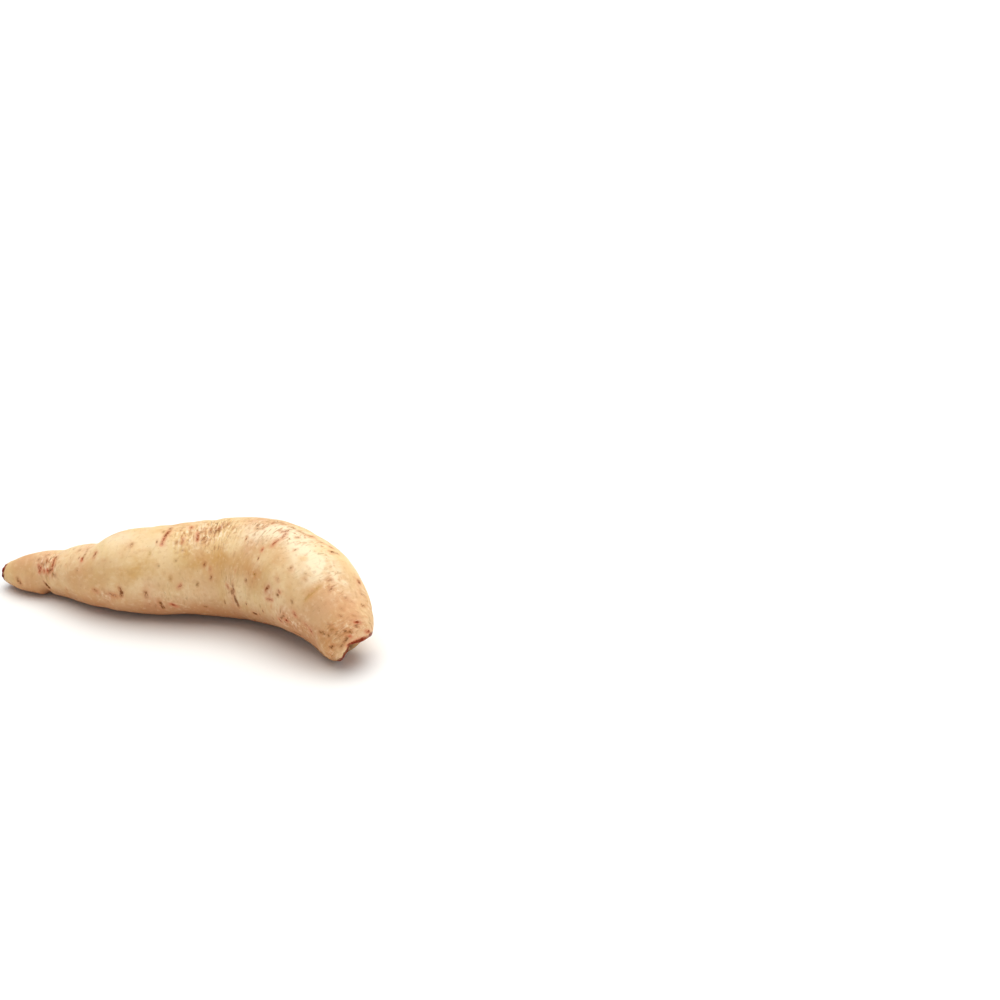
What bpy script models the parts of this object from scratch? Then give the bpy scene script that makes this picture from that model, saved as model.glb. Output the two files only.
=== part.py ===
"""A fresh arracacha root lying on a table, on three small flat spots: one solid, as it grew.

Sizes are millimetres until the mesh is made. The tail is at -X. The crown, where the root was
broken from the plant, is at +X and turned towards -Y. Z is up, and the origin is at the bottom
centre of the root's box. A place on the skin is given by its distance along the root's axis from
the end of the tail, and its angle around the axis: 0 degrees is on the side that faces -Y at the
tail, and 90 is on top.
"""

import math
from typing import NamedTuple

import bpy
import numpy as np

METRES_PER_MM = 0.001

# The mesh: rings along the root, and points around each ring.
TAIL_RINGS = 4
BODY_RINGS = 82
CROWN_RINGS = 8
BREAK_RINGS = 6
POINTS_AROUND = 48

# The tail closes in a flat ellipse, this long.
TAIL_END = 1.6

# The section is a little oval at the tail and round at the crown, and the oval turns on the way.
OVAL = 0.02
OVAL_TURN = 75.0

# Slow unevenness of the growth: waves along and around the root.
WAVES = 14
WAVE_HEIGHT = 0.09
SHORTEST_WAVE = 22.0
LONGEST_WAVE = 60.0
MOST_WAVES_AROUND = 4
WAVE_SEED = 7

# The break at the crown: its rounded edge, the lip around it, and the unevenness of its faces.
# A column that leans too far from a face for the two to meet is taken to lean this little.
BREAK_ROUNDING = 1.4
BREAK_LIP = 0.3
BREAK_LIP_WIDTH = 1.3
BREAK_BUMPS = 10
BREAK_BUMP_HEIGHT = 0.1
SHORTEST_BUMP = 5.0
LONGEST_BUMP = 11.0
BREAK_SEED = 3
LEAST_LEAN = 0.02

# The crevice where the two faces of the break meet.
CREVICE_DEPTH = 2.8
CREVICE_WIDTH = 2.0

# A crease's raised lip, as shares of the crease's own depth and breadth.
LIP_HEIGHT = 0.45
LIP_OFFSET = 1.5

SKIN_COLOUR = (0.79, 0.56, 0.33, 1.0)
SKIN_ROUGHNESS = 0.55


class Station(NamedTuple):
    """A point on the root's axis, and the root's radius there, before its ends are closed."""

    x: float
    y: float
    height: float
    radius: float


class Swelling(NamedTuple):
    """A soft rise of the skin, or a hollow where the rise is below zero. Around is in degrees."""

    along: float
    around: float
    length: float
    width: float
    rise: float


class Crease(NamedTuple):
    """A groove across the root. Around and reach are degrees, and slant is mm for 90 degrees."""

    along: float
    around: float
    reach: float
    breadth: float
    depth: float
    slant: float


class Break(NamedTuple):
    """A face of the break: the way it faces, and its distance from the middle of the crown."""

    facing: tuple
    distance: float


AXIS = (
    Station(-85.6, 40.0, 5.8, 3.8),
    Station(-75.9, 35.9, 7.9, 7.8),
    Station(-65.3, 33.3, 9.4, 9.3),
    Station(-49.1, 27.1, 12.6, 12.6),
    Station(-29.7, 19.7, 17.0, 17.3),
    Station(-8.9, 16.5, 19.8, 19.8),
    Station(12.0, 15.6, 21.2, 21.4),
    Station(24.0, 14.4, 21.9, 22.4),
    Station(34.0, 11.2, 22.5, 22.9),
    Station(43.5, 5.6, 22.9, 22.6),
    Station(52.6, -2.4, 23.0, 21.8),
    Station(62.6, -15.3, 21.2, 19.8),
    Station(73.0, -31.5, 14.1, 15.0),
)

SWELLINGS = (
    Swelling(14.0, -35.0, 10.0, 50.0, 0.5),
    Swelling(20.0, 105.0, 9.0, 50.0, 0.9),
    Swelling(47.0, -44.0, 8.0, 40.0, 0.9),
    Swelling(51.0, 100.0, 8.0, 50.0, -2.0),
    Swelling(62.0, 105.0, 9.0, 50.0, 1.3),
    Swelling(74.0, -48.0, 12.0, 36.0, 1.0),
    Swelling(92.0, 108.0, 10.0, 50.0, 0.2),
    Swelling(100.0, -50.0, 11.0, 36.0, 0.6),
    Swelling(137.0, -55.0, 9.0, 40.0, 0.8),
    Swelling(128.0, 108.0, 8.0, 40.0, 0.4),
    Swelling(141.0, 112.0, 14.0, 45.0, 0.8),
    Swelling(158.0, -60.0, 14.0, 40.0, -1.3),
    Swelling(167.0, 150.0, 12.0, 40.0, 1.0),
    Swelling(179.0, -14.0, 11.0, 40.0, -1.7),
    Swelling(184.0, -12.0, 11.0, 40.0, -2.5),
    Swelling(19.0, -96.0, 7.0, 28.0, 0.5),
    Swelling(58.0, -96.0, 22.0, 28.0, -0.9),
    Swelling(90.0, -94.0, 18.0, 28.0, -1.1),
    Swelling(124.0, -92.0, 14.0, 30.0, -0.6),
    Swelling(154.0, -98.0, 12.0, 30.0, -0.5),
    Swelling(187.0, -98.0, 8.0, 40.0, 0.6),
)

CREASES = (
    Crease(24.2, -50.0, 65.0, 2.4, 1.6, 0.0),
    Crease(31.0, 80.0, 60.0, 2.4, 0.4, -2.0),
    Crease(51.0, 130.0, 60.0, 2.8, 0.4, 3.0),
    Crease(57.0, -30.0, 50.0, 2.6, 0.35, 3.0),
    Crease(66.0, 170.0, 60.0, 2.8, 0.5, -3.0),
    Crease(86.0, 115.0, 50.0, 3.0, 0.35, 5.0),
    Crease(84.0, -110.0, 60.0, 2.6, 0.4, -2.0),
    Crease(105.0, 105.0, 50.0, 3.0, 0.4, -4.0),
    Crease(118.0, 190.0, 70.0, 3.0, 0.6, 4.0),
    Crease(146.0, 150.0, 50.0, 3.2, 0.4, 3.0),
    Crease(160.0, 20.0, 50.0, 2.8, 0.4, -3.0),
    Crease(158.0, -140.0, 50.0, 2.8, 0.4, 2.0),
)

BREAKS = (
    Break((0.5, -0.345, -0.83), 10.7),
    Break((0.82, -0.245, -0.63), 10.6),
)


def smooth_through(knots, values, at):
    """A natural cubic spline through the values at the knots, read at the given places."""
    gap = np.diff(knots)
    slope = np.diff(values, axis=0) / gap[:, None]
    count = len(knots)
    system = np.eye(count)
    wanted = np.zeros_like(values)
    for k in range(1, count - 1):
        system[k, k - 1 : k + 2] = gap[k - 1], 2 * (gap[k - 1] + gap[k]), gap[k]
        wanted[k] = 6 * (slope[k] - slope[k - 1])
    bend = np.linalg.solve(system, wanted)
    k = np.clip(np.searchsorted(knots, at) - 1, 0, count - 2)
    past, left, step = (at - knots[k])[:, None], (knots[k + 1] - at)[:, None], gap[k][:, None]
    curve = (bend[k] * left**3 + bend[k + 1] * past**3) / (6 * step)
    line = (values[k] / step - bend[k] * step / 6) * left
    return curve + line + (values[k + 1] / step - bend[k + 1] * step / 6) * past


def axis_knots():
    """The stations' distances from the end of the tail, measured from station to station."""
    points = np.array(AXIS)[:, :3]
    return np.concatenate([[0.0], np.cumsum(np.linalg.norm(np.diff(points, axis=0), axis=1))])


def unit(vectors):
    """The same directions, one long."""
    return vectors / np.linalg.norm(vectors, axis=-1)[..., None]


def axis_at(along):
    """The rings' middles and radii, how fast the radius grows, and the ways ahead, aside and up."""
    knots, stations = axis_knots(), np.array(AXIS)
    step = 0.05
    here = smooth_through(knots, stations, along)
    change = here - smooth_through(knots, stations, along - step)
    change /= np.linalg.norm(change[:, :3], axis=1)[:, None]
    ahead = change[:, :3]
    side = unit(np.cross(ahead, (0.0, 0.0, 1.0)))
    return here[:, :3], here[:, 3], change[:, 3], ahead, side, np.cross(side, ahead)


def wrapped(degrees):
    """The same angle, from -180 to 180 degrees."""
    return (degrees + 180.0) % 360.0 - 180.0


def waviness(along, around):
    """Slow waves: a sum of cosines that run along and around the root, with seeded phases."""
    draw = np.random.default_rng(WAVE_SEED)
    height = 0.0
    for _ in range(WAVES):
        length = draw.uniform(SHORTEST_WAVE, LONGEST_WAVE)
        turns = draw.integers(-MOST_WAVES_AROUND, MOST_WAVES_AROUND + 1)
        phase = draw.uniform(0, 2 * math.pi)
        height = height + np.cos(2 * math.pi * along / length + turns * np.radians(around) + phase)
    return WAVE_HEIGHT * height


def swelling_height(swelling, along, around):
    """A smooth bump: a bell curve along the root times a bell curve around it."""
    far = (along - swelling.along) / swelling.length
    turn = wrapped(around - swelling.around) / swelling.width
    return swelling.rise * np.exp(-(far**2) - turn**2)


def crease_height(crease, along, around):
    """A groove with a bell-curve section and a raised lip towards the tail, faded at its ends."""
    turn = wrapped(around - crease.around)
    across = (along - crease.along - crease.slant * turn / 90.0) / crease.breadth
    fade = np.clip(1 - (turn / crease.reach) ** 2, 0, 1) ** 2
    lip = LIP_HEIGHT * np.exp(-((across + LIP_OFFSET) ** 2))
    return crease.depth * fade * (lip - np.exp(-(across**2)))


def relief(along, around):
    """How far each place on the skin stands out from the plain body."""
    height = waviness(along, around)
    for swelling in SWELLINGS:
        height = height + swelling_height(swelling, along, around)
    for crease in CREASES:
        height = height + crease_height(crease, along, around)
    return height


def break_bumps(outward):
    """The unevenness of the broken faces: cosines that run across them, with seeded ways."""
    draw = np.random.default_rng(BREAK_SEED)
    height = 0.0
    for _ in range(BREAK_BUMPS):
        way = unit(draw.normal(size=3)) / draw.uniform(SHORTEST_BUMP, LONGEST_BUMP)
        phase = draw.uniform(0, 2 * math.pi)
        height = height + np.cos(2 * math.pi * BREAKS[0].distance * (outward @ way) + phase)
    return BREAK_BUMP_HEIGHT * height


def body_surface(along, around):
    """The body's skin as a grid of points in mm: a row for each ring, and a column for each angle.

    A ring is a slightly oval circle across the axis, and the tail closes in an ellipse. The relief
    is added along the plain body's normal.
    """
    tail = np.clip(1 - along / TAIL_END, 0, 1)
    point, radius, growth, ahead, side, up = axis_at(along)
    closing = np.sqrt(1 - tail**2)
    lean = -radius * tail / TAIL_END - growth * closing**2

    turn = np.radians(around)
    out = side[:, None] * np.cos(turn)[:, None] + up[:, None] * np.sin(turn)[:, None]
    share = (along / axis_knots()[-1])[:, None]
    oval = OVAL * (1 - share) * np.cos(2 * turn - 2 * np.radians(OVAL_TURN) * share)
    normal = unit(out * closing[:, None, None] + (ahead * lean[:, None])[:, None])
    height = relief(along[:, None], around[None]) * closing[:, None]
    points = point[:, None] + out * ((radius * closing)[:, None] * (1 + oval))[..., None]
    return points + normal * height[..., None]


def crown_surface(over_skin, over_break, around):
    """The crown as a grid of points in mm, with a column for each angle of the body's last ring.

    The crown is part of a ball that the body runs into. Each column is a great circle from the
    body's last ring to the middle of the break. Its first rows are spread over the skin, up to the
    rim, where the column meets the nearer of the two broken faces. The others cross the break,
    where the further face holds, so that the two meet in a shallow valley with a crevice.
    """
    crown_start = axis_knots()[-1]
    point, radius, growth, ahead, side, up = (value[0] for value in axis_at(np.array([crown_start])))
    meeting = math.atan(-growth)
    ball = radius / math.cos(meeting)
    middle = point - ahead * ball * math.sin(meeting)

    turn = np.radians(around)[:, None]
    start = (side * np.cos(turn) + up * np.sin(turn)) * math.cos(meeting) + ahead * math.sin(meeting)
    pole = unit(np.sum([face.facing for face in BREAKS], axis=0))
    away = unit(start - (start @ pole)[:, None] * pole)
    first = np.arccos(start @ pole)

    rim = np.full(len(around), math.pi)
    for face in BREAKS:
        facing = unit(np.array(face.facing))
        sideways, straight = away @ facing, pole @ facing
        most = np.hypot(sideways, straight)
        rim = np.minimum(rim, np.arctan2(sideways, straight) + np.arccos(face.distance / ball / most))
    skin_angle = first + (rim - first) * over_skin[:, None]
    angle = np.concatenate([skin_angle, rim * (1 - over_break[:, None])])
    outward = np.cos(angle)[..., None] * pole + np.sin(angle)[..., None] * away

    leans = [np.maximum(outward @ unit(np.array(face.facing)), LEAST_LEAN) for face in BREAKS]
    near, far = np.sort([face.distance / lean for face, lean in zip(BREAKS, leans)], axis=0)
    crevice = CREVICE_DEPTH * np.exp(-(((far - near) / CREVICE_WIDTH) ** 2))
    limit = far - crevice + break_bumps(outward)
    along = crown_start + ball * (first - angle)
    reach = ball + relief(along, around[None]) * np.sqrt(np.sin(angle))
    beyond = reach - limit
    kept = 0.5 * (reach + limit - np.sqrt(beyond**2 + BREAK_ROUNDING**2))
    kept += BREAK_LIP * np.exp(-((beyond / BREAK_LIP_WIDTH) ** 2))
    return middle + outward * kept[..., None]


def root_surface(tail_rings, body_rings, crown_rings, break_rings, around):
    """The whole skin as one grid, from the tip of the tail to the middle of the break."""
    quarter = np.linspace(0, math.pi / 2, tail_rings + 1)[:-1]
    tail = TAIL_END * (1 - np.cos(quarter))
    body = np.linspace(TAIL_END, axis_knots()[-1], body_rings)
    over_skin = np.linspace(0, 1, crown_rings + 1)[1:]
    over_break = np.linspace(0, 1, break_rings + 1)[1:]
    body_points = body_surface(np.concatenate([tail, body]), around)
    return np.concatenate([body_points, crown_surface(over_skin, over_break, around)])


def on_table(points):
    """The skin pressed flat where it would reach below the table: the spots that the root rests on."""
    return np.concatenate([points[..., :2], np.maximum(points[..., 2:], 0.0)], axis=-1)


def closed_grid(points):
    """Vertices and faces of a grid whose first and last rows have each shrunk to one point."""
    rows, columns = points.shape[:2]
    vertices = np.concatenate([points[:1, 0], points[1:-1].reshape(-1, 3), points[-1:, 0]])
    last = len(vertices) - 1
    faces = []
    for column in range(columns):
        following = (column + 1) % columns
        faces.append((0, 1 + column, 1 + following))
        for row in range(rows - 3):
            here, ahead = 1 + row * columns, 1 + (row + 1) * columns
            faces.append((here + column, ahead + column, ahead + following, here + following))
        end = 1 + (rows - 3) * columns
        faces.append((end + column, last, end + following))
    return vertices, faces


def root_skin_material():
    """Thin pale root skin: cream to ochre, dull, not metallic."""
    material = bpy.data.materials.new("root_skin")
    material.use_nodes = True
    shader = material.node_tree.nodes["Principled BSDF"]
    shader.inputs["Base Color"].default_value = SKIN_COLOUR
    shader.inputs["Roughness"].default_value = SKIN_ROUGHNESS
    shader.inputs["Metallic"].default_value = 0.0
    return material


def clear_scene():
    for item in list(bpy.data.objects):
        bpy.data.objects.remove(item, do_unlink=True)


def make_root():
    around = np.linspace(0, 360, POINTS_AROUND, endpoint=False)
    surface = root_surface(TAIL_RINGS, BODY_RINGS, CROWN_RINGS, BREAK_RINGS, around)
    vertices, faces = closed_grid(on_table(surface))
    mesh = bpy.data.meshes.new("arracacha_root")
    mesh.from_pydata((vertices * METRES_PER_MM).tolist(), [], faces)
    mesh.shade_smooth()
    mesh.materials.append(root_skin_material())
    root = bpy.data.objects.new("arracacha_root", mesh)
    bpy.context.scene.collection.objects.link(root)


clear_scene()
make_root()
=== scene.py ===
"""An arracacha root, dressed: its skin, scars and broken crown, around the frame that holds its solid.

Sizes are millimetres until a mesh is made. The skin is one surface, a function of two parameters
on a grid: the distance along the root's axis from the end of the tail, and the angle around the
axis, 0 degrees on the side that faces -Y at the tail and 90 on top. The body and the crown are
worked out as for the solid, from the same named values, and finer unevenness is added to them.
"""

import math
from typing import NamedTuple

import bpy
import numpy as np
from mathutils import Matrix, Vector


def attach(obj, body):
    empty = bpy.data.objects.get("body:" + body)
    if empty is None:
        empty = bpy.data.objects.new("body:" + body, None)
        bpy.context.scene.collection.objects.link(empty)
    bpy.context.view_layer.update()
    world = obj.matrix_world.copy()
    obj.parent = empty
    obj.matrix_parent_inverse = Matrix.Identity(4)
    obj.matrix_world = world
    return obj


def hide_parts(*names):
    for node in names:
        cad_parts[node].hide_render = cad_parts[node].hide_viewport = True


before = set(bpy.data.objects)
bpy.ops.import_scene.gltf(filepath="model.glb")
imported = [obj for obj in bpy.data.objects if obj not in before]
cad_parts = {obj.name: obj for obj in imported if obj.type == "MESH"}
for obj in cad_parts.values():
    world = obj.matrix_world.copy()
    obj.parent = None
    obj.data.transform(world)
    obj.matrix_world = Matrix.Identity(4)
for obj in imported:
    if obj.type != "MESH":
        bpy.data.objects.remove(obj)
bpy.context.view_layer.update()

METRES_PER_MM = 0.001
NODE = "arracacha_root"

# The camera, in metres, degrees and mm of film.
CAMERA_PLACE = (0.141, -0.9191, 0.5107)
CAMERA_DOWN = 26.0
CAMERA_LENS = 85.0
CAMERA_SENSOR = 36.0

# The studio: distant soft lights by the way to them, how many degrees wide each is, and its strength.
SOFT_LIGHTS = (
    ("overhead", (0.0, 0.05, 1.0), 70.0, 2.1, "#ffffff"),
    ("behind", (0.15, 0.7, 1.0), 60.0, 0.95, "#ffffff"),
    ("right", (1.0, -0.15, 0.37), 50.0, 0.65, "#fffaf2"),
)
SKY_COLOUR = "#ffffff"
SKY_STRENGTH = 0.42
EXPOSURE = -0.08
FLOOR_COLOUR = "#f4f3f0"
FLOOR_ROUGHNESS = 0.7
FLOOR_GRAINS_PER_MM = 0.9
FLOOR_GRAIN_STRENGTH = 0.05
FLOOR_RADIUS = 30.0
FLOOR_POINTS = 96

# The grid: rings over each stretch of the root, and points around each ring.
TAIL_RINGS = 14
BODY_RINGS = 440
CROWN_RINGS = 38
BREAK_RINGS = 36
POINTS_AROUND = 184

# The main form, as in the solid.
TAIL_END = 1.6
OVAL = 0.02
OVAL_TURN = 75.0
WAVES = 14
WAVE_HEIGHT = 0.09
SHORTEST_WAVE = 22.0
LONGEST_WAVE = 60.0
MOST_WAVES_AROUND = 4
WAVE_SEED = 7
BREAK_ROUNDING = 1.4
BREAK_LIP = 0.3
BREAK_LIP_WIDTH = 1.3
BREAK_BUMPS = 10
BREAK_BUMP_HEIGHT = 0.1
SHORTEST_BUMP = 5.0
LONGEST_BUMP = 11.0
BREAK_SEED = 3
LEAST_LEAN = 0.02
CREVICE_DEPTH = 2.8
CREVICE_WIDTH = 2.0
LIP_HEIGHT = 0.45
LIP_OFFSET = 1.5


class Station(NamedTuple):
    """A point on the root's axis, and the root's radius there, before its ends are closed."""

    x: float
    y: float
    height: float
    radius: float


class Swelling(NamedTuple):
    """A soft rise of the skin, or a hollow where the rise is below zero. Around is in degrees."""

    along: float
    around: float
    length: float
    width: float
    rise: float


class Crease(NamedTuple):
    """A groove across the root. Around and reach are degrees, and slant is mm for 90 degrees."""

    along: float
    around: float
    reach: float
    breadth: float
    depth: float
    slant: float


class Break(NamedTuple):
    """A face of the break: the way it faces, and its distance from the middle of the crown."""

    facing: tuple
    distance: float


class Unevenness(NamedTuple):
    """Seeded waves of the skin: how many, their lengths, how much longer they are across, their height."""

    count: int
    shortest: float
    longest: float
    stretch: float
    height: float
    seed: int


class Mark(NamedTuple):
    """A scar on the skin, between two places. Tone runs from ochre at 0 over brown to red at 1."""

    along: float
    around: float
    end_along: float
    end_around: float
    half_width: float
    strength: float
    tone: float


class Patch(NamedTuple):
    """A tinted patch of skin: its place and size in mm, and how pink, ochre and rough it is.

    Below zero, ochre stands for cream.
    """

    along: float
    around: float
    length: float
    width: float
    pink: float
    ochre: float
    rough: float


AXIS = (
    Station(-85.6, 40.0, 5.8, 3.8),
    Station(-75.9, 35.9, 7.9, 7.8),
    Station(-65.3, 33.3, 9.4, 9.3),
    Station(-49.1, 27.1, 12.6, 12.6),
    Station(-29.7, 19.7, 17.0, 17.3),
    Station(-8.9, 16.5, 19.8, 19.8),
    Station(12.0, 15.6, 21.2, 21.4),
    Station(24.0, 14.4, 21.9, 22.4),
    Station(34.0, 11.2, 22.5, 22.9),
    Station(43.5, 5.6, 22.9, 22.6),
    Station(52.6, -2.4, 23.0, 21.8),
    Station(62.6, -15.3, 21.2, 19.8),
    Station(73.0, -31.5, 14.1, 15.0),
)

SWELLINGS = (
    Swelling(14.0, -35.0, 10.0, 50.0, 0.5),
    Swelling(20.0, 105.0, 9.0, 50.0, 0.9),
    Swelling(47.0, -44.0, 8.0, 40.0, 0.9),
    Swelling(51.0, 100.0, 8.0, 50.0, -2.0),
    Swelling(62.0, 105.0, 9.0, 50.0, 1.3),
    Swelling(74.0, -48.0, 12.0, 36.0, 1.0),
    Swelling(92.0, 108.0, 10.0, 50.0, 0.2),
    Swelling(100.0, -50.0, 11.0, 36.0, 0.6),
    Swelling(137.0, -55.0, 9.0, 40.0, 0.8),
    Swelling(128.0, 108.0, 8.0, 40.0, 0.4),
    Swelling(141.0, 112.0, 14.0, 45.0, 0.8),
    Swelling(158.0, -60.0, 14.0, 40.0, -1.3),
    Swelling(167.0, 150.0, 12.0, 40.0, 1.0),
    Swelling(179.0, -14.0, 11.0, 40.0, -1.7),
    Swelling(184.0, -12.0, 11.0, 40.0, -2.5),
    Swelling(19.0, -96.0, 7.0, 28.0, 0.5),
    Swelling(58.0, -96.0, 22.0, 28.0, -0.9),
    Swelling(90.0, -94.0, 18.0, 28.0, -1.1),
    Swelling(124.0, -92.0, 14.0, 30.0, -0.6),
    Swelling(154.0, -98.0, 12.0, 30.0, -0.5),
    Swelling(187.0, -98.0, 8.0, 40.0, 0.6),
)

CREASES = (
    Crease(24.2, -50.0, 65.0, 2.4, 1.6, 0.0),
    Crease(31.0, 80.0, 60.0, 2.4, 0.4, -2.0),
    Crease(51.0, 130.0, 60.0, 2.8, 0.4, 3.0),
    Crease(57.0, -30.0, 50.0, 2.6, 0.35, 3.0),
    Crease(66.0, 170.0, 60.0, 2.8, 0.5, -3.0),
    Crease(86.0, 115.0, 50.0, 3.0, 0.35, 5.0),
    Crease(84.0, -110.0, 60.0, 2.6, 0.4, -2.0),
    Crease(105.0, 105.0, 50.0, 3.0, 0.4, -4.0),
    Crease(118.0, 190.0, 70.0, 3.0, 0.6, 4.0),
    Crease(146.0, 150.0, 50.0, 3.2, 0.4, 3.0),
    Crease(160.0, 20.0, 50.0, 2.8, 0.4, -3.0),
    Crease(158.0, -140.0, 50.0, 2.8, 0.4, 2.0),
)

# Finer creases, too small for the solid.
FINE_CREASES = (
    Crease(13.0, 150.0, 60.0, 0.7, 0.12, 1.0),
    Crease(18.5, -30.0, 50.0, 0.6, 0.12, 0.5),
    Crease(36.0, 200.0, 60.0, 0.8, 0.15, 1.5),
    Crease(41.0, 30.0, 55.0, 0.7, 0.1, -1.0),
    Crease(45.0, 250.0, 60.0, 0.8, 0.15, 1.0),
    Crease(62.0, 55.0, 45.0, 0.8, 0.12, 2.0),
    Crease(71.0, 220.0, 60.0, 0.9, 0.16, -2.0),
    Crease(79.0, -20.0, 40.0, 0.8, 0.12, 1.5),
    Crease(97.0, 150.0, 60.0, 0.9, 0.18, 3.0),
    Crease(101.0, 70.0, 35.0, 0.8, 0.16, -1.5),
    Crease(110.0, 250.0, 55.0, 0.9, 0.16, -2.5),
    Crease(123.0, 80.0, 40.0, 0.9, 0.14, 3.0),
    Crease(131.0, 170.0, 60.0, 0.9, 0.16, -3.0),
    Crease(139.0, 230.0, 60.0, 1.0, 0.18, 2.0),
    Crease(152.0, 180.0, 60.0, 0.9, 0.14, 2.5),
    Crease(168.0, 230.0, 55.0, 0.9, 0.2, -1.0),
    Crease(172.5, 56.0, 30.0, 0.8, 0.14, -1.5),
    Crease(181.0, 160.0, 60.0, 0.9, 0.14, 1.0),
)

BREAKS = (
    Break((0.5, -0.345, -0.83), 10.7),
    Break((0.82, -0.245, -0.63), 10.6),
)

LUMPS = Unevenness(40, 6.0, 15.0, 1.6, 0.07, 21)
WRINKLES = Unevenness(60, 2.0, 6.0, 2.2, 0.03, 22)
BREAK_FIBRES = Unevenness(70, 1.0, 4.0, 1.0, 0.16, 23)
TAIL_SCAB_RELIEF = Unevenness(40, 0.8, 3.0, 1.0, 0.16, 24)

# The scab reaches this far up from the end of the tail, and this much further on its own side.
SCAB_REACH = 2.6
SCAB_SIDE_REACH = 1.1
SCAB_SIDE = 55.0

# A mark's groove: its depth for its half width, the square of its spread in half widths, and the
# height of the lips beside it and how many half widths off they stand.
MARK_DEPTH = 0.3
MARK_SPREAD = 1.5
MARK_LIP = 0.35
MARK_LIP_OFFSET = 2.2

# Stands for the distance to a mark or to the break where there is none near.
FAR_AWAY = 60.0

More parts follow.
